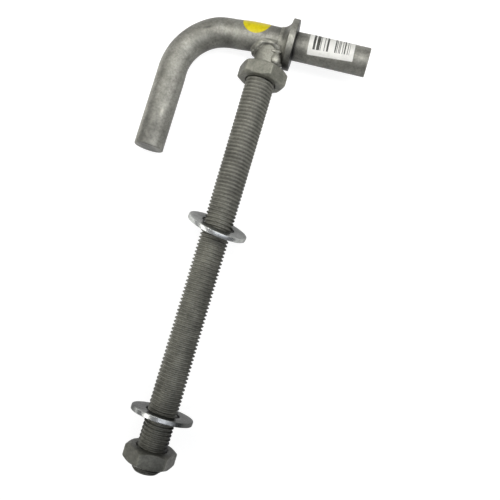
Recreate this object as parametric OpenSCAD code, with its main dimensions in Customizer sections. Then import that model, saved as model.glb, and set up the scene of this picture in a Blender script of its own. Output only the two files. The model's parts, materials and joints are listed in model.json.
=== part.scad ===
// Lock-through gate gudgeon bolt: a bent bar welded across the end of a threaded rod.
// The bolt lies as it comes to rest: on its collar or front nut, on the leaning washer and on the bend.

/* [Bar] */
// Diameter of the round bar
bar_d = 19.4; // [16:0.1:24]
// Diameter of the gate pin, just under the bar's
pin_d = 19; // [15:0.1:23.8]
// Gate pin, from the rod's axis to its free end
pin_reach = 66.4; // [50:0.1:90]
// Distance from the rod's axis to the leg's axis
leg_offset = 62.1; // [52:0.1:80]
// Leg, from the pin's axis to its free end
leg_reach = 94; // [75:0.5:130]
// Radius of the bend along the bar's centre line
bend_radius = 37.2; // [28:0.1:45]
// Bevel on the sawn ends of the bar
bar_bevel = 0.7; // [0.2:0.1:1.5]

/* [Collar] */
// Outside diameter of the collar that carries the gate
collar_d = 33.8; // [30:0.1:40]
// Thickness of the collar
collar_t = 3.9; // [2.5:0.1:6]
// Distance from the rod's axis to the collar's back
collar_at = 11.1; // [10.5:0.1:16]
// Bevel on the collar's rim
collar_bevel = 0.4; // [0.1:0.1:0.8]
// Least thickness of the collar's weld at both its toes
toe = 0.35; // [0.2:0.05:0.8]

/* [Rod] */
// Diameter over the thread's crests
rod_d = 20; // [16:0.1:22]
// Rod, from the pin's axis to its tip
rod_reach = 297.2; // [240:0.1:400]
// Diameter of the plain neck under the weld
neck_d = 17.6; // [14:0.1:18]
// Bevel at the rod's tip and at the start of the thread
rod_bevel = 1.5; // [0.5:0.1:2.5]

/* [Rod weld] */
// Leg of the fillet at both sides of the neck
fillet = 5; // [3:0.1:6]
// How far the bead stands proud of the neck in front and behind
bead = 1.3; // [0.6:0.1:2.5]
// Middle of the bead, from the pin's axis
bead_at = 7.8; // [6:0.1:9]
// Radius of the run of weld between the neck and the collar
run_r = 4.6; // [3:0.1:5.5]
// Depth of the run's middle below the neck's face
run_sink = 0.7; // [0:0.1:2]
// Distance of the run's middle behind the bar
run_drop = 4.5; // [3:0.1:6]
// Place of the run round the neck, from the pin's side towards the top
run_turn = 36; // [20:1:70]
// Gap left between welded faces
weld_gap = 0.03; // [0.02:0.01:0.1]

/* [Nuts] */
// Width across the flats
nut_af = 30; // [26:0.1:34]
// Height of a nut
nut_h = 10; // [7:0.1:14]
// Height of the nuts' corners that the 30 degree chamfer takes off
nut_chamfer = 1.7; // [0.8:0.1:2.2]
// Radial clearance between a nut and the thread's crests
nut_gap = 0.06; // [0.03:0.01:0.1]
// Bevel at both mouths of a nut's bore
nut_mouth = 0.8; // [0.4:0.1:1.2]
// Front nut's face, from the pin's axis
front_nut_at = 21.1; // [20.5:0.1:28]
// Length of the plain neck that is inside the front nut
neck_in_nut = 3.3; // [1:0.1:5]
// Turn of the front nut about the rod
front_nut_turn = 4; // [-30:1:30]
// Length of thread that shows behind the back nut
tip_shows = 5.3; // [2:0.1:20]
// Turn of the back nut about the rod
back_nut_turn = -20; // [-30:1:30]

/* [Washers] */
// Outside diameter
washer_d = 41.4; // [38:0.1:50]
// Hole diameter
washer_hole = 22.8; // [22.5:0.1:24]
// Thickness
washer_t = 3; // [2:0.1:3.5]
// Bevel on a washer's rim
washer_bevel = 0.4; // [0.1:0.1:0.8]
// Least clearance between a washer and the thread
washer_gap = 0.15; // [0.1:0.05:0.2]
// Front washer's middle, from the pin's axis
front_washer_at = 134; // [100:0.5:160]
// Direction in which the front washer leans, about the rod
front_washer_turn = 33; // [0:1:60]
// Back washer's middle, from the back nut's face
back_washer_off = 20.9; // [6:0.1:60]
// Angle at which the back washer leans
back_washer_lean = 4; // [0:0.5:8]
// Direction in which the back washer leans, about the rod
back_washer_turn = 158; // [120:1:240]

/* [Hidden] */
$fn = 96;
bar_r = bar_d / 2;
pin_r = pin_d / 2;
rod_r = rod_d / 2;
neck_r = neck_d / 2;
collar_r = collar_d / 2;
collar_face = collar_at + collar_t;
bend_at = [bend_radius - leg_offset, -bend_radius, 0];
// The neck ends inside the front nut, where the thread runs out
neck_end = front_nut_at + neck_in_nut;
nut_corner = nut_af / sqrt(3);
nut_face_r = nut_corner - nut_chamfer / tan(30);
back_nut_at = rod_reach - tip_shows - nut_h;
back_washer_at = back_nut_at - back_washer_off;
washer_r = washer_d / 2;
hole_r = washer_hole / 2;
// Both ends of the hole touch the thread when the front washer leans as far as it goes
front_washer_lean = acos((rod_d + 2 * washer_gap) / norm([washer_hole, washer_t])) - atan(washer_t / washer_hole);
// The back washer hangs from the top of the rod
back_washer_drop = hole_r * cos(back_washer_lean) - washer_t / 2 * sin(back_washer_lean) - rod_r - washer_gap;
// Radius of the hollow face of the collar's weld
hollow_r = collar_r - bar_r - weld_gap - toe - collar_bevel;

// How the bolt comes to rest
function unit(v) = v / norm(v);
function lower(a, b, up) = a * up < b * up ? a : b;
function lowest(points, up, i = 0) =
    i == len(points) - 1 ? points[i] : lower(points[i], lowest(points, up, i + 1), up);
// Lowest point of a rim with this centre, axis and radius
function rim_low(centre, axis, r, up) = centre - r * unit(up - (up * axis) * axis);
function nut_edges(at, turn) =
    [for (k = [0:5], s = [at + nut_chamfer, at + nut_h - nut_chamfer])
        [nut_corner * cos(60 * k + turn), -s, nut_corner * sin(60 * k + turn)]];
function front_low(up) = lowest(concat(
    [rim_low([collar_at + collar_bevel, 0, 0], [1, 0, 0], collar_r, up)],
    [rim_low([collar_face - collar_bevel, 0, 0], [1, 0, 0], collar_r, up)],
    nut_edges(front_nut_at, front_nut_turn)), up);
washer_axis = [sin(front_washer_lean) * sin(front_washer_turn), cos(front_washer_lean),
    sin(front_washer_lean) * cos(front_washer_turn)];
washer_half = washer_t / 2 - washer_bevel;
function washer_low(up) = lower(
    rim_low([0, -front_washer_at, 0] + washer_half * washer_axis, washer_axis, washer_r, up),
    rim_low([0, -front_washer_at, 0] - washer_half * washer_axis, washer_axis, washer_r, up), up);
function bend_low(up) =
    let (a = max(90, min(180, atan2(-up.y, -up.x))))
    bend_at + bend_radius * [cos(a), sin(a), 0] - bar_r * up;
function upright(v) = v.z < 0 ? -v : v;
function plane_up(a, b, c) = upright(unit(cross(b - a, c - a)));
function settle(up, turns) =
    turns == 0 ? up : settle(plane_up(front_low(up), washer_low(up), bend_low(up)), turns - 1);
rest_up = settle([0, 0, 1], 40);
roll = -atan2(rest_up.x, rest_up.z);
pitch = atan2(rest_up.y, norm([rest_up.x, rest_up.z]));
lift = -(washer_low(rest_up) * rest_up);
// The bolt's middle on the floor, between its outermost rims
across = [cos(roll), 0, sin(roll)];
along = [sin(pitch) * sin(roll), cos(pitch), -sin(pitch) * cos(roll)];
function rim_out(centre, axis, r, way) = centre * way + r * norm(way - (way * axis) * axis);
right_end = max(rim_out([pin_reach, 0, 0], [1, 0, 0], pin_r - bar_bevel, across),
    rim_out([pin_reach - bar_bevel, 0, 0], [1, 0, 0], pin_r, across));
left_end = rim_out([-leg_offset, 0, 0], [0, 1, 0], bar_r, -across);
front_end = max(rim_out([collar_at + collar_bevel, 0, 0], [1, 0, 0], collar_r, along),
    rim_out([collar_face - collar_bevel, 0, 0], [1, 0, 0], collar_r, along));
back_end = max(rim_out([0, -rod_reach, 0], [0, 1, 0], rod_r - rod_bevel, -along),
    rim_out([0, rod_bevel - rod_reach, 0], [0, 1, 0], rod_r, -along));
middle = [(right_end - left_end) / 2, (front_end - back_end) / 2];

steel = [0.56, 0.56, 0.53];
zinc = [0.68, 0.69, 0.71];
weld_grey = [0.6, 0.6, 0.58];

// From the bolt's own axes, with the rod along -Y and the pin along +X, to the way it lies
module lie()
    translate([-middle.x, -middle.y, lift]) rotate([pitch, 0, 0]) rotate([0, roll, 0]) children();

module along_pin() rotate([0, 90, 0]) children();

module along_rod() rotate([90, 0, 0]) children();

// Free end of a bar of this radius, bevelled where it was sawn
module sawn_end(r, reach) {
    linear_extrude(reach - bar_bevel) circle(r);
    translate([0, 0, reach - bar_bevel]) cylinder(h = bar_bevel, r1 = r, r2 = r - bar_bevel);
}

// Built round the middle of the bend, from the leg's end to the pin's
module bent_bar() color(steel) lie() translate(bend_at) union() {
    rotate([0, 0, 90]) rotate_extrude(angle = 90) translate([bend_radius, 0]) circle(bar_r);
    translate([-bend_radius, 0, 0]) along_rod() sawn_end(bar_r, leg_reach - bend_radius);
    translate([0, bend_radius, 0]) along_pin() linear_extrude(collar_face - bend_at.x) circle(bar_r);
    translate([collar_face - bend_at.x, bend_radius, 0]) along_pin() sawn_end(pin_r, pin_reach - collar_face);
}

module pin_collar() color(steel) lie() along_pin()
    rotate_extrude() polygon([
        [bar_r + weld_gap, collar_at],
        [collar_r - collar_bevel, collar_at],
        [collar_r, collar_at + collar_bevel],
        [collar_r, collar_face - collar_bevel],
        [collar_r - collar_bevel, collar_face],
        [bar_r + weld_gap, collar_face]]);

// Hollow fillet between the bar and the back of the collar
module collar_fillet()
    along_pin() rotate_extrude() difference() {
        translate([bar_r + weld_gap, collar_at - weld_gap - toe - hollow_r]) square(toe + hollow_r);
        translate([bar_r + weld_gap + toe + hollow_r, collar_at - weld_gap - toe - hollow_r]) circle(hollow_r);
    }

// Fillets at both sides of the neck and a thin bead round it in front and behind
module neck_fillets(grow)
    intersection() {
        along_rod() rotate_extrude() polygon([
            [0, 0],
            [neck_r + fillet + grow, 0],
            [neck_r + fillet + grow, bar_r],
            [neck_r + grow, bar_r + fillet],
            [0, bar_r + fillet]]);
        translate([0, -bead_at, 0])
            along_pin() cylinder(h = 4 * rod_d, r = neck_r + bead + grow, center = true);
    }

// Run of weld between the neck and the collar
module weld_run(grow)
    rotate([0, -run_turn, 0]) translate([neck_r - run_sink, -bar_r - run_drop, 0]) sphere(run_r + grow);

module collar_weld() color(weld_grey) lie() difference() {
    difference() {
        collar_fillet();
        neck_fillets(weld_gap);
    }
    weld_run(weld_gap);
}

module threaded_rod() color(steel) lie() difference() {
    along_rod() rotate_extrude() polygon([
        [0, 0],
        [neck_r, 0],
        [neck_r, neck_end],
        [rod_r, neck_end + rod_bevel],
        [rod_r, rod_reach - rod_bevel],
        [rod_r - rod_bevel, rod_reach],
        [0, rod_reach]]);
    along_pin() cylinder(h = 4 * rod_d, r = bar_r + weld_gap, center = true);
}

module rod_weld() color(weld_grey) lie() difference() {
    union() {
        neck_fillets(0);
        weld_run(0);
    }
    along_pin() cylinder(h = 4 * rod_d, r = bar_r + weld_gap, center = true);
    along_rod() cylinder(h = 4 * rod_d, r = neck_r + weld_gap);
    along_pin() translate([0, 0, collar_at - weld_gap]) cylinder(h = 4 * rod_d, r = 2 * collar_r);
}

module hex_nut(at, turn)
    translate([0, -at, 0]) along_rod() difference() {
        intersection() {
            rotate([0, 0, turn]) cylinder(h = nut_h, r = nut_corner, $fn = 6);
            // Two cones that meet outside the corners cut the chamfers
            rotate_extrude() polygon([
                [0, 0],
                [nut_face_r, 0],
                [nut_face_r + nut_h / 2 / tan(30), nut_h / 2],
                [nut_face_r, nut_h],
                [0, nut_h]]);
        }
        rotate_extrude() polygon([
            [0, -nut_mouth],
            [rod_r + nut_gap + 2 * nut_mouth, -nut_mouth],
            [rod_r + nut_gap, nut_mouth],
            [rod_r + nut_gap, nut_h - nut_mouth],
            [rod_r + nut_gap + 2 * nut_mouth, nut_h + nut_mouth],
            [0, nut_h + nut_mouth]]);
    }

module front_nut() color(steel) lie() hex_nut(front_nut_at, front_nut_turn);

module back_nut() color(steel) lie() hex_nut(back_nut_at, back_nut_turn);

module plain_washer()
    along_rod() rotate_extrude() polygon([
        [hole_r, -washer_t / 2],
        [washer_r - washer_bevel, -washer_t / 2],
        [washer_r, washer_bevel - washer_t / 2],
        [washer_r, washer_t / 2 - washer_bevel],
        [washer_r - washer_bevel, washer_t / 2],
        [hole_r, washer_t / 2]]);

module front_washer() color(zinc) lie() translate([0, -front_washer_at, 0])
    rotate([0, front_washer_turn, 0]) rotate([front_washer_lean, 0, 0]) plain_washer();

module back_washer() color(zinc) lie() translate([0, -back_washer_at, -back_washer_drop])
    rotate([0, back_washer_turn, 0]) rotate([back_washer_lean, 0, 0]) plain_washer();

bent_bar();
pin_collar();
collar_weld();
threaded_rod();
rod_weld();
front_nut();
front_washer();
back_washer();
back_nut();
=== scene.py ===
import json
import math

import bmesh
import bpy
from mathutils import Matrix, Vector, geometry, noise


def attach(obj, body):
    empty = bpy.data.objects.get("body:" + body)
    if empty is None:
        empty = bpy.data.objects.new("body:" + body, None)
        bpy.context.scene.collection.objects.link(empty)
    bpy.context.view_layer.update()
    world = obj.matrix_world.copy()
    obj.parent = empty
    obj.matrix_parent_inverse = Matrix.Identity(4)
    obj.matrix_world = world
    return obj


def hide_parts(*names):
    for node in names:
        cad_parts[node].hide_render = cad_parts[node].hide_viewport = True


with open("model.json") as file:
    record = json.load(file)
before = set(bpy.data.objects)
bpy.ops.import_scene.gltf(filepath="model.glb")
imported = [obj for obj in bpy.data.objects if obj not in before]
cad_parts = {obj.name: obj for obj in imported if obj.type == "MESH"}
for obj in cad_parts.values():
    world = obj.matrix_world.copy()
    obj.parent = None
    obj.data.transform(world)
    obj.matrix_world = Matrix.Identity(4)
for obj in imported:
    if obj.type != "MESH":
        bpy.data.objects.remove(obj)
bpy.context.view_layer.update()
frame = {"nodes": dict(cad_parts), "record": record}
scene = bpy.context.scene
scene.view_settings.view_transform = "Standard"
print("frame loaded:", ", ".join(sorted(frame["nodes"])))

# The bolt's own axes come from its mounts: x along the gate pin, -y down the rod, z up, in mm
mounts = {m["name"]: m for m in frame["record"]["mounts"]}
pinWay, pinAt = Vector(mounts["gate_pin"]["axis"]), Vector(mounts["gate_pin"]["pos_m"])
rodWay, rodAt = Vector(mounts["post_bolt"]["axis"]), Vector(mounts["post_bolt"]["pos_m"])
crossing = geometry.intersect_line_line(pinAt, pinAt + pinWay, rodAt, rodAt + rodWay)[0]
boltAxes = Matrix((pinWay, -rodWay, pinWay.cross(-rodWay))).transposed().to_4x4()
toWorld = Matrix.Translation(crossing) @ boltAxes @ Matrix.Scale(0.001, 4)


def hexColour(code):
    # sRGB hex to the linear values that Blender's sockets take
    parts = [int(code[i:i + 2], 16) / 255 for i in (1, 3, 5)]
    return [c / 12.92 if c <= 0.04045 else ((c + 0.055) / 1.055) ** 2.4 for c in parts] + [1]


def perMm(size):
    # texture scale for a pattern of this size in mm
    return 1000 / size


def addNode(tree, kind, links=None, **settings):
    made = tree.nodes.new(kind)
    for name, value in settings.items():
        setattr(made, name, value)
    for socket, value in (links or {}).items():
        if isinstance(value, bpy.types.NodeSocket):
            tree.links.new(value, made.inputs[socket])
        else:
            made.inputs[socket].default_value = value
    return made


def zincWaves(p, waves):
    # height of the uneven zinc at a point, from pairs of wave size and depth in mm
    return sum(noise.noise(Vector(p) / size + Vector((size, 3.1, 7.7))) * depth for size, depth in waves)


def smoothStep(x, low, high):
    t = min(1, max(0, (x - low) / (high - low)))
    return t * t * (3 - 2 * t)


def skinRings(rings, capStart=True, capEnd=True):
    # quads between rings of the same count, with fans over the ends
    count = len(rings[0])
    points = [p for ring in rings for p in ring]
    faces = []
    for k in range(len(rings) - 1):
        for i in range(count):
            j = (i + 1) % count
            faces.append((k * count + i, k * count + j, (k + 1) * count + j, (k + 1) * count + i))
    for wanted, ring, first in ((capStart, rings[0], 0), (capEnd, rings[-1], (len(rings) - 1) * count)):
        if wanted:
            middle = len(points)
            points.append(sum((Vector(p) for p in ring), Vector()) / count)
            faces += [(middle, first + i, first + (i + 1) % count) for i in range(count)]
    return points, faces


def paintTone(piece, tone):
    # a shade for each point, from -1 for black to +1 for twice as pale, by its place on the bolt in mm
    toBolt = toWorld.inverted()
    shades = piece.data.attributes.new("tone", "FLOAT", "POINT").data
    for v, shade in zip(piece.data.vertices, shades):
        shade.value = tone(toBolt @ v.co)


# pale and dark marks on the bolt's front, real zinc runs, streaks and scuffs along with painted highlights and
# painted shade: place, half sizes, turn in degrees and shade
marksAndPaintedLight = (
    (-57.0, -70.3, 1.2, 2.6, 0, 0.9),  # run of zinc on the leg
    (-56.8, -67.0, 3.0, 4.0, 0, 0.15),
    (-59.9, -87.2, 0.7, 4.0, 50, -0.18),  # streaks from dipping
    (-61.6, -88.0, 0.7, 3.8, 49, 0.12),
    (-63.2, -88.7, 0.7, 3.3, 48, -0.18),
    (-43.3, -5.2, 3.4, 0.85, 24, -0.5),  # scuff on the bend
    (-23.4, -5.4, 9.0, 2.4, 0, 0.5),  # painted highlight beside the dot
    (3.5, 4.0, 6.5, 3.0, 0, -0.35),  # darker between the dot and the collar
    (-0.8, -3.4, 7.5, 2.0, 9, 0.35),  # painted highlight on the front bead, and along its left end
    (-6.4, -6.2, 4.0, 1.0, 31, 0.8),  # and along its left end
    (-2.4, -7.5, 4.4, 0.9, 0, -0.6),  # painted shade in the crease under that bead
    (4.4, -6.0, 2.6, 0.9, 27, -0.6),
    (-7.6, -14.5, 1.7, 5.0, 0, -0.4),  # painted shade on the neck's left side, under the bead
)


def frontMarksAndLight(p):
    if p.z < 0:
        return 0
    shade = 0
    for x, y, wide, high, turn, strength in marksAndPaintedLight:
        off = Matrix.Rotation(math.radians(-turn), 2) @ Vector((p.x - x, p.y - y))
        shade += strength * math.exp(-(off.x / wide) ** 2 - (off.y / high) ** 2)
    return shade


def makePiece(name, points, faces, body, slot, node=None, material=None, place=None, sharp=38):
    merge = 0.0005  # mm
    mesh = bpy.data.meshes.new(name)
    mesh.from_pydata([tuple(p) for p in points], [], faces)
    bm = bmesh.new()
    bm.from_mesh(mesh)
    bmesh.ops.remove_doubles(bm, verts=bm.verts, dist=merge)
    bmesh.ops.dissolve_degenerate(bm, edges=bm.edges, dist=merge / 2)
    bmesh.ops.recalc_face_normals(bm, faces=bm.faces)
    bm.to_mesh(mesh)
    bm.free()
    mesh.transform(toWorld @ place if place else toWorld)
    mesh.shade_smooth()
    mesh.set_sharp_from_angle(angle=math.radians(sharp))
    piece = bpy.data.objects.new(name, mesh)
    scene.collection.objects.link(piece)
    if material:
        mesh.materials.append(material)
    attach(piece, body)
    if node:
        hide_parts(node)
    print("piece made:", name, len(mesh.polygons), "faces")
    return piece


# Hot-dip galvanised steel: a dull grey coat that froze in place, so it is mottled in soft
# patches, a little grainy, and shines only in a broad sheen
barZinc = {
    "pale": "#a9a89e", "dark": "#7c7b73", "stain": "#636259",
    "patchMm": 9, "grainMm": 1.6, "stainMm": 22,
    "metal": 0.4, "roughLow": 0.42, "roughHigh": 0.56, "grainDepth": 0.12,
    "occlusionShade": (0.3, 0.9, 0.3), "glance": 1.0,
}
# The same coat on a rolled thread, darkened in its grooves by painted shade
threadZinc = {
    "pale": "#a7a69a", "dark": "#807f76", "stain": "#67665e",
    "patchMm": 7, "grainMm": 1.2, "stainMm": 30,
    "metal": 0.6, "roughLow": 0.42, "roughHigh": 0.58, "grainDepth": 0.1,
    "occlusionShade": (0.02, 0.3, 0.4), "glance": 0.6,
}
# Nuts spun out of the bath: thin coat, darker and more even
nutZinc = {
    "pale": "#908f83", "dark": "#6c6c62", "stain": "#55554c",
    "patchMm": 6, "grainMm": 1.4, "stainMm": 18,
    "metal": 0.4, "roughLow": 0.45, "roughHigh": 0.6, "grainDepth": 0.12,
    "occlusionShade": (0.2, 0.85, 0.45), "glance": 1.0,
}
# Zinc over a weld: thicker, paler and lumpy, with a faint straw tint
weldZinc = {
    "pale": "#a9a89c", "dark": "#7c7b72", "stain": "#62615a",
    "patchMm": 4, "grainMm": 1.1, "stainMm": 9,
    "metal": 0.4, "roughLow": 0.36, "roughHigh": 0.52, "grainDepth": 0.15,
    "occlusionShade": (0.2, 0.85, 0.3), "glance": 1.0,
}
# Bright zinc-plated washer: blue-white, satin, with clear reflections along its rim
washerZinc = {
    "pale": "#868785", "dark": "#636462", "stain": "#51514e",
    "patchMm": 5, "grainMm": 1.5, "stainMm": 14,
    "metal": 0.85, "roughLow": 0.22, "roughHigh": 0.36, "grainDepth": 0.06,
    "occlusionShade": (0.1, 0.7, 0.4), "glance": 0.55,
}


def galvanised(name, look):
    material = bpy.data.materials.new(name)
    material.use_nodes = True
    tree = material.node_tree
    shader = tree.nodes["Principled BSDF"]
    place = addNode(tree, "ShaderNodeTexCoord").outputs["Object"]
    patches = addNode(tree, "ShaderNodeTexNoise", {
        "Vector": place, "Scale": perMm(look["patchMm"]), "Detail": 4, "Roughness": 0.6}).outputs["Fac"]
    grain = addNode(tree, "ShaderNodeTexNoise", {
        "Vector": place, "Scale": perMm(look["grainMm"]), "Detail": 3, "Roughness": 0.65}).outputs["Fac"]
    stains = addNode(tree, "ShaderNodeTexNoise", {
        "Vector": place, "Scale": perMm(look["stainMm"]), "Detail": 5, "Roughness": 0.65,
        "Distortion": 0.6}).outputs["Fac"]
    mottle = addNode(tree, "ShaderNodeMath", {0: patches, 1: grain}, operation="ADD").outputs[0]
    share = addNode(tree, "ShaderNodeMapRange", {
        "Value": mottle, "From Min": 0.72, "From Max": 1.28}).outputs["Result"]
    coat = addNode(tree, "ShaderNodeMix", {
        0: share, 6: hexColour(look["dark"]), 7: hexColour(look["pale"])}, data_type="RGBA").outputs[2]
    stainShare = addNode(tree, "ShaderNodeMapRange", {
        "Value": stains, "From Min": 0.52, "From Max": 0.72, "To Max": 0.55}).outputs["Result"]
    stained = addNode(tree, "ShaderNodeMix", {
        0: stainShare, 6: coat, 7: hexColour(look["stain"])}, data_type="RGBA").outputs[2]
    corner = addNode(tree, "ShaderNodeAmbientOcclusion", {"Distance": 0.1}, samples=8).outputs["AO"]
    low, high, darkest = look["occlusionShade"]  # painted shade: the colour is darkened where ambient occlusion finds the surface sheltered
    shade = addNode(tree, "ShaderNodeMapRange", {
        "Value": corner, "From Min": low, "From Max": high, "To Min": darkest}).outputs["Result"]
    occlusionShaded = addNode(tree, "ShaderNodeMix", {
        0: 1.0, 6: stained, 7: shade}, data_type="RGBA", blend_type="MULTIPLY").outputs[2]
    tone = addNode(tree, "ShaderNodeAttribute", attribute_name="tone").outputs["Fac"]
    level = addNode(tree, "ShaderNodeMath", {0: tone, 1: 1.0}, operation="ADD").outputs[0]
    toned = addNode(tree, "ShaderNodeHueSaturation", {"Value": level, "Color": occlusionShaded}).outputs["Color"]
    tree.links.new(toned, shader.inputs["Base Color"])
    rough = addNode(tree, "ShaderNodeMapRange", {
        "Value": mottle, "From Min": 0.7, "From Max": 1.3,
        "To Min": look["roughHigh"], "To Max": look["roughLow"]}).outputs["Result"]
    tree.links.new(rough, shader.inputs["Roughness"])
    bump = addNode(tree, "ShaderNodeBump", {
        "Height": mottle, "Strength": 0.5, "Distance": look["grainDepth"] / 1000}).outputs["Normal"]
    tree.links.new(bump, shader.inputs["Normal"])
    shader.inputs["Metallic"].default_value = look["metal"]
    # how pale it turns seen along the surface
    shader.inputs["Specular Tint"].default_value = [look["glance"]] * 3 + [1]
    return material


barCoat = galvanised("hotDipGalvanisedBar", barZinc)
threadCoat = galvanised("hotDipGalvanisedThread", threadZinc)
nutCoat = galvanised("spunGalvanisedNut", nutZinc)
weldCoat = galvanised("galvanisedWeldBead", weldZinc)
washerCoat = galvanised("brightZincWasher", washerZinc)
print("metal finishes ready")

# Bent bar: the leg, a quarter bend and the gate pin in one length
bar = {
    "radius": 9.7, "pinRadius": 9.5, "pinEnd": 66.4, "legX": -62.1, "legEnd": 94,
    "bendRadius": 37.2, "bevel": 0.7, "collarFace": 15.0,
    "step": 0.9, "sides": 80, "waves": ((11, 0.09), (3.5, 0.03)),
    "runAndHighlightAt": (-57.0, -70.3), "runSize": (1.2, 2.6), "runHeight": 0.35,
    "sag": 0.95, "sagAt": -28, "sagReach": 10, "flat": 0.25, "thick": 0.55,
    # painted light and shade of the leg's two sides, at the bend and what is added at its end, and painted
    # shade along its top
    "legInside": (0.35, 0.3), "legOutside": (0.55, 0.25), "legTop": -0.42,
    # painted shade of the bar's back and front edge, of the same beside the bend, and round the bend
    "barBack": -0.14, "barFront": -0.18, "bendBack": -0.4, "bendFront": -0.3, "bendOutside": -0.35,
    # painted shade over the pin, and the painted shadow at the collar's foot with its width
    "pinShade": -0.1, "footShadow": -0.95, "footLine": 2.2,
}


def barPath(t):
    # centre and direction at a length t from the leg's end
    leg = bar["legEnd"] - bar["bendRadius"]
    arc = bar["bendRadius"] * math.pi / 2
    centre = Vector((bar["legX"] + bar["bendRadius"], -bar["bendRadius"], 0))
    if t < leg:
        return Vector((bar["legX"], t - bar["legEnd"], 0)), Vector((0, 1, 0))
    if t < leg + arc:
        a = math.pi - (t - leg) / bar["bendRadius"]
        out = Vector((math.cos(a), math.sin(a), 0))
        return centre + bar["bendRadius"] * out, Vector((out.y, -out.x, 0))
    return Vector((centre.x + t - leg - arc, 0, 0)), Vector((1, 0, 0))


def barSkin(p, out, lift=0):
    # where the skin at p really lies: off the true round in uneven zinc, and off the true line
    lift += zincWaves(p, bar["waves"])
    if p.z > 0:  # a run of zinc that froze on the leg
        dx, dy = ((p[k] - bar["runAndHighlightAt"][k]) / bar["runSize"][k] for k in (0, 1))
        lift += bar["runHeight"] * math.exp(-dx * dx - dy * dy)
    lift += bar["thick"] * max(0, out.x) ** 2 * smoothStep(-p.y, 24, 44)  # zinc gathered inside the leg
    # the bar dips a little after the bend, where its outer side was drawn flat
    dip = math.exp(-((p.x - bar["sagAt"]) / bar["sagReach"]) ** 2)
    return p + (lift - bar["flat"] * dip * max(0, out.y) ** 2) * out - Vector((0, bar["sag"] * dip, 0))


def barRing(t, radius):
    centre, way = barPath(t)
    side = Vector((-way.y, way.x, 0))
    ring = []
    for i in range(bar["sides"]):
        a = 2 * math.pi * i / bar["sides"]
        out = math.cos(a) * side + math.sin(a) * Vector((0, 0, 1))
        p = centre + radius * out
        ring.append(barSkin(p, out))
    return ring


def makeBar():
    length = bar["legEnd"] - bar["bendRadius"] + bar["bendRadius"] * math.pi / 2
    toFace = length - bar["legX"] - bar["bendRadius"] + bar["collarFace"]
    toEnd = toFace - bar["collarFace"] + bar["pinEnd"]
    bevel = bar["bevel"]
    rounding = [math.radians(a) for a in (0, 22, 45, 68, 90)]
    rings = [barRing(0, bar["radius"] * k) for k in (0.25, 0.5, 0.75, 0.9)]
    rings += [barRing(bevel - bevel * math.cos(a), bar["radius"] - bevel + bevel * math.sin(a))
              for a in rounding]
    t = bevel + bar["step"]
    while t < toEnd - bevel - 0.3:
        onPin = smoothStep(t, toFace - 0.1, toFace + bar["step"])
        rings.append(barRing(t, bar["radius"] + (bar["pinRadius"] - bar["radius"]) * onPin))
        t += bar["step"]
    rings += [barRing(toEnd - bevel + bevel * math.sin(a), bar["pinRadius"] - bevel + bevel * math.cos(a))
              for a in rounding]
    rings += [barRing(toEnd, bar["pinRadius"] * k) for k in (0.9, 0.75, 0.5, 0.25)]
    return makePiece("bentBar", *skinRings(rings), "bolt", "galvanised_bar", "bent_bar", barCoat)


def barTone(p):
    # painted light and shade: the leg is darker along its top and paler down its sides, the bar is darker
    # towards its edges and round the bend, the pin darker all over, and a painted shadow lies at the collar's
    # foot
    shade = frontMarksAndLight(p)
    bendX, bendR = bar["legX"] + bar["bendRadius"], bar["bendRadius"]
    if p.x > bendX:
        inward = -p.y
    elif -p.y > bendR:
        inward = p.x - bar["legX"]
    else:
        inward = bendR - math.hypot(p.x - bendX, p.y + bendR)
    u = inward / bar["radius"]
    inner, outer = smoothStep(u, 0.3, 0.85), smoothStep(-u, 0.35, 0.8)
    down = smoothStep(-p.y, 45, 85)
    inside, atEnd = bar["legInside"]
    shade += (inside + atEnd * down) * inner * smoothStep(-p.y, 5, 30) + bar["legTop"] * down
    outside, atEnd = bar["legOutside"]
    shade += (outside + atEnd * down) * outer * smoothStep(-p.y, 20, 45)
    straight = smoothStep(p.x, -46, -28)
    byBend = straight * smoothStep(-p.x, 20, 30)
    onBend = (1 - straight) * (1 - smoothStep(-p.y, 10, 30))
    shade += bar["bendOutside"] * smoothStep(-u, 0.1, 0.7) * onBend
    shade += straight * (bar["barBack"] * outer + bar["barFront"] * smoothStep(u, 0.5, 0.9))
    shade += byBend * (bar["bendBack"] * outer + bar["bendFront"] * inner)
    shade += bar["pinShade"] * smoothStep(p.x, 20, 40)
    # painted shadow on the pin at the collar's foot
    onFoot = p.x - bar["collarFace"]
    if -1 < onFoot < 2 * bar["footLine"]:
        shade += bar["footShadow"] * (1 - smoothStep(onFoot, bar["footLine"] * 0.5, bar["footLine"] * 1.4))
    return shade


paintTone(makeBar(), barTone)

# Collar: a thick cropped ring whose edges are softened by the zinc
collar = {
    "inner": 9.6, "outer": 16.9, "back": 10.9, "face": 15.4, "edge": 0.4, "lean": 4.5,
    "sides": 112, "waves": ((6, 0.12), (2.2, 0.04)),
    # painted highlight along the rim and a brighter painted band on it, painted shade of the face, and of the
    # front and back end
    "rimHighlight": 0.08, "highlightShade": 0.2, "runAndHighlightAt": -6, "highlightReach": 5, "faceShade": -0.7,
    "frontShade": -0.45, "backShade": -0.3,
}


def lathe(profile, sides, waves):
    # rings about the z axis, one per angle, through a profile of (radius, height) points
    rings = []
    for i in range(sides):
        a = 2 * math.pi * i / sides
        ring = []
        for r, h in profile:
            p = Vector((r * math.cos(a), r * math.sin(a), h))
            lift = zincWaves(p, waves)
            middle = Vector((math.cos(a), math.sin(a), 0)) * (sum(q[0] for q in profile) / len(profile))
            ring.append(p + lift * (p - middle).normalized())
        rings.append(ring)
    rings.append(rings[0])
    return skinRings(rings, False, False)


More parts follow.
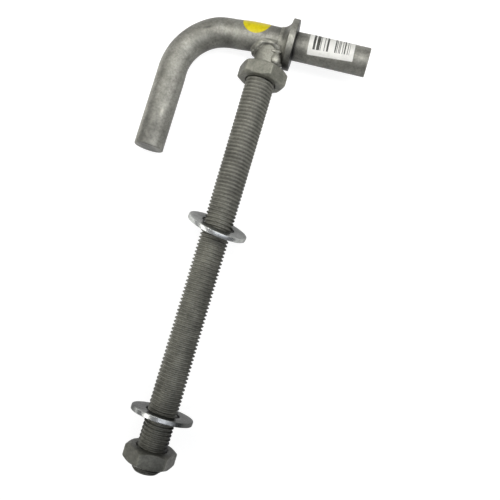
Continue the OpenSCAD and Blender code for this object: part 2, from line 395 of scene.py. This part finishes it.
def roundedBox(inner, outer, low, high, edge, steps=5):
    # (radius, height) points round a rectangle with soft corners
    points = []
    for r, h, start in ((outer, low, -90), (outer, high, 0), (inner, high, 90), (inner, low, 180)):
        cr = r - edge if r == outer else r + edge
        ch = h + edge if h == low else h - edge
        for k in range(steps + 1):
            a = math.radians(start + 90 * k / steps)
            points.append((cr + edge * math.cos(a), ch + edge * math.sin(a)))
    return points


alongPin = Matrix.Rotation(math.radians(90), 4, "Y")
alongRod = Matrix.Rotation(math.radians(90), 4, "X")
# the collar was welded on a little askew, its front edge leaning towards the pin's end
askew = (Matrix.Translation((collar["face"], 0, 0)) @ Matrix.Rotation(math.radians(collar["lean"]), 4, "Y")
         @ Matrix.Translation((-collar["face"], 0, 0)))

collarProfile = roundedBox(collar["inner"], collar["outer"], collar["back"], collar["face"], collar["edge"])
ring = makePiece("pinCollar", *lathe(collarProfile, collar["sides"], collar["waves"]),
                 "bolt", "galvanised_bar", "pin_collar", barCoat, askew @ alongPin)


def collarTone(p):
    # a painted highlight along the rim, painted shade at its ends and on its face
    p = askew.inverted() @ p
    onRim = smoothStep(math.hypot(p.y, p.z), collar["outer"] - 0.8, collar["outer"] - 0.2)
    onFace = smoothStep(p.x, collar["face"] - 0.6, collar["face"] - 0.05)
    ends = collar["frontShade"] * smoothStep(-p.y, 8, 13) + collar["backShade"] * smoothStep(p.y, 9, 14)
    highlight = collar["highlightShade"] * math.exp(-((p.y - collar["runAndHighlightAt"]) / collar["highlightReach"]) ** 2)
    return (collar["rimHighlight"] + highlight) * onRim * (1 - onFace) + collar["faceShade"] * onFace + ends


paintTone(ring, collarTone)

# Collar weld: hollow fillet on the back of the collar, with the ripples of a slow run
collarWeld = {
    "toeBar": 9.6, "toeCollar": 16.35, "back": 11.15, "length": 6.6, "hollow": 6.45,
    "ripples": 34, "rippleDepth": 0.03, "sides": 160, "steps": 24, "waves": ((4, 0.16), (1.6, 0.05)),
    "toe": 0.3, "sunk": 0.8, "lap": 0.6,  # how blunt its toes are, and how deep it sits in the bar and collar
    # painted highlight where the fillet faces forward, and painted shade at its back and root
    "highlightShade": 0.5, "runAndHighlightAt": 2.6, "highlightReach": 1.6, "backShade": -0.45, "rootShade": -0.5,
}


def makeCollarWeld():
    c = collarWeld
    rings = []
    for i in range(c["sides"]):
        a = 2 * math.pi * i / c["sides"]
        out = Vector((math.cos(a), math.sin(a), 0))
        wave = c["rippleDepth"] * math.sin(c["ripples"] * a + 2 * noise.noise(3 * out))
        ring = []
        for k in range(c["steps"] + 1):  # hollow face, from the bar to the collar
            b = math.radians(90 * k / c["steps"])
            r = c["toeBar"] + c["toe"] + c["hollow"] * (1 - math.cos(b))
            h = c["back"] - c["toe"] - c["hollow"] * (1 - math.sin(b))
            p = out * r + Vector((0, 0, h))
            lift = 0
            if 0 < k < c["steps"]:
                lift = (wave + zincWaves(p, c["waves"])) * math.sin(b * 2) ** 0.5
            ring.append(p + lift * (out * math.cos(b) - Vector((0, 0, math.sin(b)))))
        ring.append(out * (c["toeCollar"] - 0.2) + Vector((0, 0, c["back"] + c["lap"])))
        ring.append(out * (c["toeBar"] - c["sunk"]) + Vector((0, 0, c["back"] + c["lap"])))
        ring.append(out * (c["toeBar"] - c["sunk"]) + Vector((0, 0, c["back"] - c["length"])))
        rings.append(ring)
    rings.append(rings[0])
    return makePiece("collarWeld", *skinRings(rings, False, False),
                     "bolt", "galvanised_weld", "collar_weld", weldCoat, askew @ alongPin, 60)


def collarWeldTone(p):
    # painted shade where it faces back and at its root, a painted highlight where it faces forward
    c = collarWeld
    off = c["back"] - (askew.inverted() @ p).x
    back = smoothStep(p.y, -6, -2)
    highlight = c["highlightShade"] * math.exp(-((off - c["runAndHighlightAt"]) / c["highlightReach"]) ** 2)
    dark = c["backShade"] * back * smoothStep(5.4 - off, 0, 1.2)
    return (1 - back) * highlight + dark + c["rootShade"] * (1 - smoothStep(off, 0.1, 0.7))


paintTone(makeCollarWeld(), collarWeldTone)

# Rod weld: a saddle fillet round the neck, short beads over it, and a heavy lump by the collar
rodWeld = {
    "bar": 9.7, "neck": 8.8, "legSide": 4.6, "legFront": 0.3, "neckFront": 7.4, "neckSide": 14.6,
    "bulgeFront": 0.9, "bulgeSide": 0.3, "sides": 120, "voxel": 0.26, "soften": 4,
    "waves": ((3.2, 0.14), (1.3, 0.06)),
    # from and to angle about the rod from the front, radius at both ends, and rise, in mm
    "beads": ((-84, -30, 2.4, 1.5, 0.95), (100, 178, 1.5, 1.6, 0.3), (182, 255, 1.6, 1.5, 0.3)),
    # middle and reach of each painted highlight on the beads and the lump
    "highlightSpots": (((-5.9, -8.0, 8.6), 3.0), ((-8.0, -9.6, 7.2), 2.4), ((4.4, -10.8, 8.9), 2.2),
                  ((7.6, -10.6, 8.2), 2.4), ((6.2, -15.2, 8.8), 5.4)),
    "spotHighlight": 0.6, "shade": -0.12,
    # a short ridge as from, to and radius
    "ridge": ((2.8, -10.7, 7.9), (9.4, -9.8, 6.9), 1.35),
    # middle and half sizes of each lump
    "lumps": (((6.5, -15.4, 4.8), (3.9, 5.3, 4.6)), ((9.2, -13.4, 1.5), (2.6, 4.8, 4.4)),
              ((-10.4, -11.6, 0.5), (1.5, 1.8, 4.2))),
}


def saddle(a, rise):
    # where neck and bar meet at an angle a about the rod, lifted out of the corner between them
    w = rodWeld
    z = w["neck"] * math.cos(a)
    p = Vector((w["neck"] * math.sin(a), -math.sqrt(w["bar"] ** 2 - z * z), z))
    fromBar, fromRod = Vector((0, p.y, p.z)), Vector((p.x, 0, p.z))
    return p + rise * (fromBar.normalized() + fromRod.normalized()).normalized()


def filletRing(a):
    # section of the saddle fillet at an angle a about the rod
    w = rodWeld
    front, side = math.cos(a) ** 2, math.sin(a) ** 2
    toBar = w["neck"] + w["legFront"] * front + w["legSide"] * side
    barToe = Vector((toBar, math.sqrt(max(0, w["bar"] ** 2 - (toBar * math.cos(a)) ** 2))))
    neckToe = Vector((w["neck"], w["neckFront"] * front + w["neckSide"] * side))
    bulge = w["bulgeFront"] * front + w["bulgeSide"] * side
    chord = neckToe - barToe
    normal = Vector((chord.y, -chord.x)).normalized()
    ring = [barToe + chord * t + normal * (bulge * 4 * t * (1 - t)) for t in (k / 12 for k in range(13))]
    ring += [Vector((w["neck"] - 1.4, neckToe.y - 0.4)), Vector((w["neck"] - 1.4, barToe.y - 1.2)),
             Vector((barToe.x - 0.3, barToe.y - 1.2))]
    return [Vector((q.x * math.sin(a), -q.y, q.x * math.cos(a))) for q in ring]


def ball(middle, size, around=20, down=12):
    # a closed oval blob with these half sizes
    rings = []
    for k in range(1, down):
        b = math.pi * k / down
        rings.append([Vector(middle) + Vector((size[0] * math.sin(b) * math.cos(2 * math.pi * i / around),
                                               size[1] * math.sin(b) * math.sin(2 * math.pi * i / around),
                                               size[2] * math.cos(b))) for i in range(around)])
    return skinRings(rings)


def fuse(piece, voxel, soften):
    # melt overlapping shells into one skin
    melt = piece.modifiers.new("melt", "REMESH")
    melt.mode, melt.voxel_size = "VOXEL", voxel / 1000
    ease = piece.modifiers.new("ease", "SMOOTH")
    ease.iterations = soften
    whole = bpy.data.meshes.new_from_object(piece.evaluated_get(bpy.context.evaluated_depsgraph_get()))
    piece.modifiers.clear()
    piece.data = whole
    whole.shade_smooth()


def roughen(piece, waves):
    # push the skin in and out like uneven zinc
    toBolt = toWorld.inverted()
    outward = [v.normal.copy() for v in piece.data.vertices]
    for v, out in zip(piece.data.vertices, outward):
        v.co += out * zincWaves(toBolt @ v.co, waves) / 1000


def makeRodWeld():
    w = rodWeld
    rings = [filletRing(2 * math.pi * i / w["sides"]) for i in range(w["sides"])]
    shells = [skinRings(rings + rings[:1], False, False)]
    shells += [ball(middle, size) for middle, size in w["lumps"]]
    drops = []
    for low, high, first, last, rise in w["beads"]:
        count = round((high - low) / 5)  # a drop every 5 degrees
        for k in range(count + 1):
            a = math.radians(low + (high - low) * k / count)
            drops.append((saddle(a, rise), first + (last - first) * k / count, k))
    start, end, radius = w["ridge"]
    for k in range(9):
        swell = 0.6 + 0.4 * math.sin(math.pi * k / 8)
        drops.append((Vector(start).lerp(Vector(end), k / 8), radius * swell, k))
    for middle, radius, k in drops:  # the ripples of a bead laid by hand
        r = radius * (1 + 0.06 * math.sin(2.1 * k))
        shells.append(ball(middle, (r, r, r), 16, 10))
    points, faces = [], []
    for shellPoints, shellFaces in shells:
        first = len(points)
        points += shellPoints
        faces += [tuple(first + i for i in face) for face in shellFaces]
    piece = makePiece("rodWeld", points, faces, "bolt", "galvanised_weld", "rod_weld", weldCoat)
    fuse(piece, w["voxel"], w["soften"])
    roughen(piece, w["waves"])
    return piece


def weldTone(p):
    # painted highlights on the beads and the lump, and the rest a little darker
    pale = [0]
    for middle, reach in rodWeld["highlightSpots"]:
        pale.append(1 - smoothStep((p - Vector(middle)).length, 0.4 * reach, reach))
    return rodWeld["spotHighlight"] * max(pale) + rodWeld["shade"] + frontMarksAndLight(p)


paintTone(makeRodWeld(), weldTone)

# Threaded rod: plain neck, then an M20 thread of 2.5 mm pitch down to the bevelled tip
rod = {
    "crest": 10.0, "root": 8.62, "neck": 8.8, "pitch": 2.5,
    "softRoot": 9.2, "softFrom": 95, "softUntil": 145,  # zinc has half filled the upper grooves
    "start": 3.0, "neckEnd": 24.4, "tip": 297.2, "bevel": 2.2, "sides": 72,
    "waves": ((5, 0.06), (1.5, 0.03)),
    # shades of the neck, then painted shade of the upper grooves, both edges, the pin's side, the end and the
    # tip
    "neckShade": 0.28, "grooveShade": -0.4, "edgeShade": -0.5, "sideShade": -0.25,
    "endShade": -0.4, "tipShade": -0.2,
}
# one turn of the thread as (place, height): rolled flanks with crests rounded off by zinc
threadShape = ((0, 0), (0.09, 0.03), (0.2, 0.34), (0.32, 0.76), (0.4, 0.96), (0.5, 1), (0.6, 0.96),
               (0.68, 0.76), (0.8, 0.34), (0.91, 0.03))


def makeRod():
    steps = len(threadShape)
    turns = int((rod["tip"] - rod["start"]) / rod["pitch"]) + 3
    rows = steps * turns
    points, faces = [], []
    for i in range(rod["sides"]):
        a = 2 * math.pi * i / rod["sides"]
        for k in range(rows):
            at, height = threadShape[k % steps]
            s = rod["start"] + rod["pitch"] * (k // steps + at + i / rod["sides"] - 1)
            clear = smoothStep(s, rod["softFrom"], rod["softUntil"])
            root = rod["softRoot"] + (rod["root"] - rod["softRoot"]) * clear
            r = root + (rod["crest"] - 0.04 - root) * height
            r = rod["neck"] + (r - rod["neck"]) * smoothStep(s, rod["neckEnd"], rod["neckEnd"] + 2.2)
            p = Vector((r * math.sin(a), -s, r * math.cos(a)))
            r = min(r + zincWaves(p, rod["waves"]), rod["crest"])
            s = min(max(s, rod["start"]), rod["tip"])
            ends = s in (rod["start"], rod["tip"])
            r = min(r, rod["crest"] - rod["bevel"] + rod["tip"] - s)
            if ends:
                r = rod["neck"] if s == rod["start"] else rod["crest"] - rod["bevel"]
            points.append((r * math.sin(a), -s, r * math.cos(a)))
    for i in range(rod["sides"]):
        last = i == rod["sides"] - 1
        first, second = i * rows, 0 if last else (i + 1) * rows
        shift = steps if last else 0
        for k in range(rows - 1 - shift):
            faces.append((first + k, first + k + 1, second + k + 1 + shift, second + k + shift))
    for s, row in ((rod["start"], 0), (rod["tip"], rows - 1)):
        middle = len(points)
        points.append((0, -s, 0))
        faces += [(middle, i * rows + row, (i + 1) % rod["sides"] * rows + row)
                  for i in range(rod["sides"])]
    return makePiece("threadedRod", points, faces, "bolt", "galvanised_thread", "threaded_rod",
                     threadCoat, None, 50)


def rodTone(p):
    # a pale neck, painted shade in the grooves of the upper thread, along its edges and on the pin's side, and
    # a darker end and tip as painted shade
    onNeck = 1 - smoothStep(-p.y, rod["neckEnd"] - 2, rod["neckEnd"] + 3)
    depth = 1 - smoothStep(math.hypot(p.x, p.z), rod["softRoot"], rod["crest"])
    grooves = rod["grooveShade"] * depth * (1 - smoothStep(-p.y, rod["softFrom"], rod["softUntil"]))
    side = p.x / rod["crest"]
    paintedSideShade = rod["edgeShade"] * smoothStep(abs(side), 0.72, 1) + rod["sideShade"] * smoothStep(side, 0.1, 0.8)
    paintedSideShade *= 0.5 + 0.5 * smoothStep(-p.y, 90, 150)  # half as much of it on the upper thread
    end = rod["endShade"] * smoothStep(-p.y, 235, 285) + rod["tipShade"] * smoothStep(-p.y, 290, 295)
    return onNeck * (rod["neckShade"] + frontMarksAndLight(p)) + (1 - onNeck) * (grooves + paintedSideShade + end)


paintTone(makeRod(), rodTone)

# Thin hexagon nuts, chamfered on both faces, their corners rounded off by the zinc
nut = {
    "flats": 30, "height": 10, "chamfer": 1.7, "bore": 10.06, "mouth": 0.8, "corner": 1.7,
    "edge": 0.3, "waves": ((5, 0.08), (1.8, 0.03)),
    "edgeHighlight": 0.4, "edgeHighlightReach": 3,  # painted highlight on the corners, and its reach in degrees on both sides of a corner
}
# name, node, place along the rod, turn, shade painted over the whole nut, lighter on the front one and darker
# on the back one, and how much painted shade it has on the pin's side
nuts = (("frontNut", "front_nut", 21.1, 4, 0.15, 0), ("backNut", "back_nut", 281.9, -20, -0.22, 0.4))


def hexOutline(half, corner):
    # (angle, radius) points round a hexagon with rounded corners, starting at a corner
    reach = (half - corner) / math.cos(math.pi / 6)
    points = []
    for k in range(6):
        for b in range(-30, 31, 6):
            p = Vector((reach + corner * math.cos(math.radians(b)), corner * math.sin(math.radians(b))))
            points.append((k * math.pi / 3 + math.atan2(p.y, p.x), p.length))
        first = points[-1][0]
        last = (k + 1) * math.pi / 3 - (first - k * math.pi / 3)
        for step in range(1, 10):
            a = first + (last - first) * step / 10
            points.append((a, half / math.cos(a - k * math.pi / 3 - math.pi / 6)))
    return points


def makeNut(name, node, at, turn):
    n = nut
    slope = math.tan(math.radians(30))
    faceR = n["flats"] / math.sqrt(3) - n["chamfer"] / slope
    e = n["edge"]
    rings = []
    for a, r in hexOutline(n["flats"] / 2, n["corner"]):
        low = (r - faceR) * slope
        # from the mouth of the bore over the face and the chamfer to the flat, edges eased
        half = [(n["bore"] + n["mouth"], 0), (12.4, 0), (faceR - e, 0), (faceR, 0.06),
                (r - e, low - e * slope - 0.02), (r - 0.06, low + e * 0.5), (r, low + e * 1.6),
                (r, n["height"] / 2 - 1.5)]
        profile = half + [(q, n["height"] - h) for q, h in reversed(half)]
        profile += [(n["bore"], h) for h in (n["height"] - n["mouth"], n["height"] / 2, n["mouth"])]
        ring = []
        for q, h in profile:
            p = Vector((q * math.cos(a), q * math.sin(a), h))
            lift = zincWaves(p + Vector((0, 0, at)), n["waves"]) if q > n["bore"] + 0.9 else 0
            ring.append(p + lift * Vector((math.cos(a), math.sin(a), 0)))
        rings.append(ring)
    rings.append(rings[0])
    place = Matrix.Translation((0, -at, 0)) @ alongRod @ Matrix.Rotation(math.radians(turn), 4, "Z")
    return makePiece(name, *skinRings(rings, False, False), node, "galvanised_nut", node, nutCoat,
                     place, 30)


def nutTone(p, turn, shade, paintedSideShade):
    # a painted highlight on the corners, and painted shade on the pin's side
    off = (math.degrees(math.atan2(p.z, p.x)) - turn + 30) % 60 - 30
    onCorner = smoothStep(math.hypot(p.x, p.z), nut["flats"] / 2 + 0.5, nut["flats"] / 2 + 1.5)
    edgeHighlight = nut["edgeHighlight"] * onCorner * math.exp(-(off / nut["edgeHighlightReach"]) ** 2)
    return shade + edgeHighlight - paintedSideShade * smoothStep(p.x, -nut["flats"] / 8, nut["flats"] / 2)


for name, node, at, turn, shade, paintedSideShade in nuts:
    paintTone(makeNut(name, node, at, turn), lambda p: nutTone(p, turn, shade, paintedSideShade))

# Loose plain washers, punched from sheet
washer = {
    "outer": 20.7, "hole": 11.4, "thick": 3, "edge": 0.45, "sides": 128, "waves": ((7, 0.08), (2, 0.03)),
    "edgeHighlight": 3.6, "edgeHighlightAt": -10,  # painted highlight on the rim, and where it is centred in degrees about the rod from its top
}
# name, node, place along the rod, drop, turn, lean, shade painted over the whole washer, darker on the back
# one, and reach of the rim's painted highlight in degrees
washers = (("frontWasher", "front_washer", 134, 0, 33, 20.53, 0.08, 75),
           ("backWasher", "back_washer", 261, 1.118, 158, 4, -0.52, 34))


def makeWasher(name, node, at, drop, turn, lean, shade, reach):
    w = washer
    profile = roundedBox(w["hole"], w["outer"], -w["thick"] / 2, w["thick"] / 2, w["edge"])
    place = (Matrix.Translation((0, -at, -drop)) @ Matrix.Rotation(math.radians(turn), 4, "Y")
             @ Matrix.Rotation(math.radians(lean), 4, "X") @ alongRod)
    piece = makePiece(name, *lathe(profile, w["sides"], w["waves"]), node, "galvanised_washer", node,
                      washerCoat, place, 60)
    toWasher = place.inverted()

    def washerTone(p):
        # a painted highlight on the punched rim where it faces up
        onRim = smoothStep((toWasher @ p).xy.length, w["outer"] - 0.7, w["outer"] - 0.2)
        off = (math.degrees(math.atan2(p.x, p.z)) - w["edgeHighlightAt"]) / reach
        return shade + (w["edgeHighlight"] - shade) * onRim * math.exp(-off * off)

    paintTone(piece, washerTone)
    return piece


for row in washers:
    makeWasher(*row)

# Price dot: a round yellow paper sticker smoothed down over the top of the bar, glossy and a little scuffed
dot = {"x": -12.3, "round": 7.5, "radius": 9.5, "thick": 0.1, "colour": "#dccb18", "worn": "#bdac10",
       "scuffMm": 2.5, "rough": 0.4, "rings": (0.06, 0.2, 0.35, 0.5, 0.64, 0.77, 0.88, 0.95, 1)}
# Shelf label: white coated paper on the pin, printed with plain bars
label = {"x": 25.9, "round": -7.9, "turn": 3.5, "width": 30.6, "height": 25, "thick": 0.1, "corner": 0.4,
         "paper": "#e9e8e2", "soiled": "#d3d2ca", "ink": "#45453f", "scuffMm": 4, "rough": 0.5,
         "barMm": 0.42,  # real bars are 0.33 mm, too fine to show
         "inkShare": 0.58, "blocks": ((0.27, 0.17), (0.72, 0.18)), "tall": (0.52, 0.37),  # middle and half size
         "rings": [0.05 + 0.095 * k for k in range(11)]}


def onBar(u, v, radius, lift):
    # a point u along the bar and v round it, from the top towards the back, lifted off the zinc
    out = Vector((0, math.sin(v / radius), math.cos(v / radius)))
    p = Vector((u, 0, 0)) + radius * out
    return barSkin(p, out, lift)


def stickOn(name, outline, look, radius, material):
    # a thin closed skin inside an outline of (u, v) points round the sticker's middle
    middle = sum((Vector(q) for q in outline), Vector((0, 0))) / len(outline)
    rings = [[middle + (Vector(q) - middle) * k for q in outline] for k in look["rings"]]
    top = [[onBar(q.x, q.y, radius, look["thick"]) for q in ring] for ring in rings]
    foot = [[onBar(q.x, q.y, radius, -0.05) for q in ring] for ring in reversed(rings)]
    return makePiece(name, *skinRings(top + foot), "bolt", None, None, material, None, 60)


def paperCoat(name, look, clean, soiled):
    # coated paper: an even colour with faint soiling from handling, and a low sheen
    material = bpy.data.materials.new(name)
    material.use_nodes = True
    tree = material.node_tree
    shader = tree.nodes["Principled BSDF"]
    place = addNode(tree, "ShaderNodeTexCoord").outputs["Object"]
    scuffs = addNode(tree, "ShaderNodeTexNoise", {
        "Vector": place, "Scale": perMm(look["scuffMm"]), "Detail": 4, "Roughness": 0.6}).outputs["Fac"]
    share = addNode(tree, "ShaderNodeMapRange", {
        "Value": scuffs, "From Min": 0.45, "From Max": 0.75}).outputs["Result"]
    coat = addNode(tree, "ShaderNodeMix", {
        0: share, 6: hexColour(clean), 7: hexColour(soiled)}, data_type="RGBA")
    tree.links.new(coat.outputs[2], shader.inputs["Base Color"])
    shader.inputs["Roughness"].default_value = look["rough"]
    bump = addNode(tree, "ShaderNodeBump", {
        "Height": scuffs, "Strength": 0.3, "Distance": 0.00005}).outputs["Normal"]
    tree.links.new(bump, shader.inputs["Normal"])
    return material, tree, shader, coat.outputs[2]


def printBars(tree, shader, paper, look):
    # two blocks of uneven bars across the label
    flat = addNode(tree, "ShaderNodeUVMap", uv_map="flat").outputs["UV"]
    split = addNode(tree, "ShaderNodeSeparateXYZ", {0: flat}).outputs
    count = look["width"] / look["barMm"]
    steps = addNode(tree, "ShaderNodeMath", {0: split[0], 1: count}, operation="MULTIPLY").outputs[0]
    column = addNode(tree, "ShaderNodeMath", {0: steps}, operation="FLOOR").outputs[0]
    chance = addNode(tree, "ShaderNodeTexWhiteNoise", {"W": column}, noise_dimensions="1D").outputs["Value"]
    inked = addNode(tree, "ShaderNodeMath", {
        0: chance, 1: 1 - look["inkShare"]}, operation="GREATER_THAN").outputs[0]
    (leftAt, leftHalf), (rightAt, rightHalf) = look["blocks"]
    left = addNode(tree, "ShaderNodeMath", {
        0: split[0], 1: leftAt, 2: leftHalf}, operation="COMPARE").outputs[0]
    right = addNode(tree, "ShaderNodeMath", {
        0: split[0], 1: rightAt, 2: rightHalf}, operation="COMPARE").outputs[0]
    tall = addNode(tree, "ShaderNodeMath", {
        0: split[1], 1: look["tall"][0], 2: look["tall"][1]}, operation="COMPARE").outputs[0]
    blocks = addNode(tree, "ShaderNodeMath", {0: left, 1: right}, operation="ADD").outputs[0]
    blocks = addNode(tree, "ShaderNodeMath", {0: blocks, 1: tall}, operation="MULTIPLY").outputs[0]
    ink = addNode(tree, "ShaderNodeMath", {0: blocks, 1: inked}, operation="MULTIPLY").outputs[0]
    printed = addNode(tree, "ShaderNodeMix", {
        0: ink, 6: paper, 7: hexColour(look["ink"])}, data_type="RGBA")
    tree.links.new(printed.outputs[2], shader.inputs["Base Color"])


def makeStickers():
    dotCoat = paperCoat("yellowStickerPaper", dot, dot["colour"], dot["worn"])[0]
    circle = [(dot["x"] + dot["radius"] * math.cos(math.radians(3 * k)),
               dot["round"] + dot["radius"] * math.sin(math.radians(3 * k))) for k in range(120)]
    stickOn("yellowDot", circle, dot, bar["radius"], dotCoat)
    labelCoat, tree, shader, paper = paperCoat("whiteLabelPaper", label, label["paper"], label["soiled"])
    printBars(tree, shader, paper, label)
    c, w, h = label["corner"], label["width"], label["height"]
    sides = []
    for x, y, start in ((w - c, c, -90), (w - c, h - c, 0), (c, h - c, 90), (c, c, 180)):
        rounding = [math.radians(start + 15 * k) for k in range(7)]
        sides += [(x + c * math.cos(a), y + c * math.sin(a)) for a in rounding]
    outline = []
    for (x0, y0), (x1, y1) in zip(sides, sides[1:] + sides[:1]):  # no step longer than 1 mm round the edge
        count = max(1, math.ceil(math.hypot(x1 - x0, y1 - y0)))
        outline += [(x0 + (x1 - x0) * k / count, y0 + (y1 - y0) * k / count) for k in range(count)]
    turn = Matrix.Rotation(math.radians(label["turn"]), 2)
    corner = Vector((label["x"], label["round"]))
    outline = [corner + turn @ Vector(q) for q in outline]
    piece = stickOn("pinLabel", outline, label, bar["pinRadius"], labelCoat)
    flat = piece.data.uv_layers.new(name="flat")
    toBolt = toWorld.inverted()
    for loop in piece.data.loops:
        p = toBolt @ piece.data.vertices[loop.vertex_index].co
        q = turn.inverted() @ (Vector((p.x, math.atan2(p.y, p.z) * bar["pinRadius"])) - corner)
        flat.data[loop.index].uv = (q.x / w, q.y / h)


makeStickers()

# Pale studio paper under the bolt: it shows white and gives back little light
floor = {"size": 6, "colour": "#959592", "white": 0.87, "rough": 0.9}
bpy.ops.mesh.primitive_plane_add(size=floor["size"], location=(0, 0, -0.0002))
ground = bpy.context.object
ground.name = "floor"
studioPaper = bpy.data.materials.new("studioPaper")
studioPaper.use_nodes = True
paperTree = studioPaper.node_tree
paperShader = paperTree.nodes["Principled BSDF"]
paperShader.inputs["Base Color"].default_value = hexColour(floor["colour"])
paperShader.inputs["Roughness"].default_value = floor["rough"]
paperShader.inputs["Emission Color"].default_value = (1, 1, 1, 1)
rays = addNode(paperTree, "ShaderNodeLightPath").outputs
seen = addNode(paperTree, "ShaderNodeMath", {
    0: rays["Is Camera Ray"], 1: rays["Is Glossy Ray"]}, operation="MAXIMUM").outputs[0]
seen = addNode(paperTree, "ShaderNodeMath", {
    0: seen, 1: rays["Is Transmission Ray"]}, operation="MAXIMUM").outputs[0]
glow = addNode(paperTree, "ShaderNodeMath", {0: seen, 1: floor["white"]}, operation="MULTIPLY")
paperTree.links.new(glow.outputs[0], paperShader.inputs["Emission Strength"])
ground.data.materials.append(studioPaper)

# Soft studio light: a long box with a grid above the bar, a wide one over to the left of the
# washers, a dim ceiling and a cool room
lights = {
    "longBox": {"place": (0.05, 0.16, 0.32), "aim": (0.05, 0.18, 0), "wide": 0.85, "deep": 0.14,
                "power": 0.8, "spread": 130, "tint": "#fffefb"},
    "leftBox": {"place": (-0.33, -0.14, 0.30), "aim": (-0.22, -0.12, 0), "wide": 0.55, "deep": 0.16,
                "power": 0.7, "spread": 180, "tint": "#fffefb"},
    "ceiling": {"place": (0.4, -0.05, 0.8), "aim": (0.05, -0.05, 0), "wide": 0.8, "deep": 0.9,
                "power": 3.0, "spread": 180, "tint": "#f0f4ff"},
}
room = {"strength": 0.11, "tint": "#eef0fa"}
for name, box in lights.items():
    lamp = bpy.data.lights.new(name, "AREA")
    lamp.shape = "RECTANGLE"
    lamp.size, lamp.size_y = box["wide"], box["deep"]
    lamp.energy = box["power"]
    lamp.spread = math.radians(box["spread"])
    lamp.color = hexColour(box["tint"])[:3]
    lampPiece = bpy.data.objects.new(name, lamp)
    lampPiece.location = box["place"]
    lampPiece.rotation_euler = (Vector(box["aim"]) - lampPiece.location).to_track_quat("-Z", "Y").to_euler()
    scene.collection.objects.link(lampPiece)
world = bpy.data.worlds.new("room")
world.use_nodes = True
world.node_tree.nodes["Background"].inputs["Color"].default_value = hexColour(room["tint"])
world.node_tree.nodes["Background"].inputs["Strength"].default_value = room["strength"]
scene.world = world
print("floor and light ready")

# Camera: almost straight down on the bolt
camera = {"place": (0.028, -0.0195, 0.35996), "right": (0.96044, 0.27825, 0.01181),
          "down": (0.27849, -0.95922, -0.04841), "lens": 36.855}
eye = bpy.data.cameras.new("camera")
eye.lens = camera["lens"]
eye.sensor_width = 36
eyePiece = bpy.data.objects.new("camera", eye)
rightWay, upWay = Vector(camera["right"]), -Vector(camera["down"])
eyePiece.matrix_world = (Matrix.Translation(camera["place"])
                         @ Matrix((rightWay, upWay, rightWay.cross(upWay))).transposed().to_4x4())
scene.collection.objects.link(eyePiece)
scene.camera = eyePiece
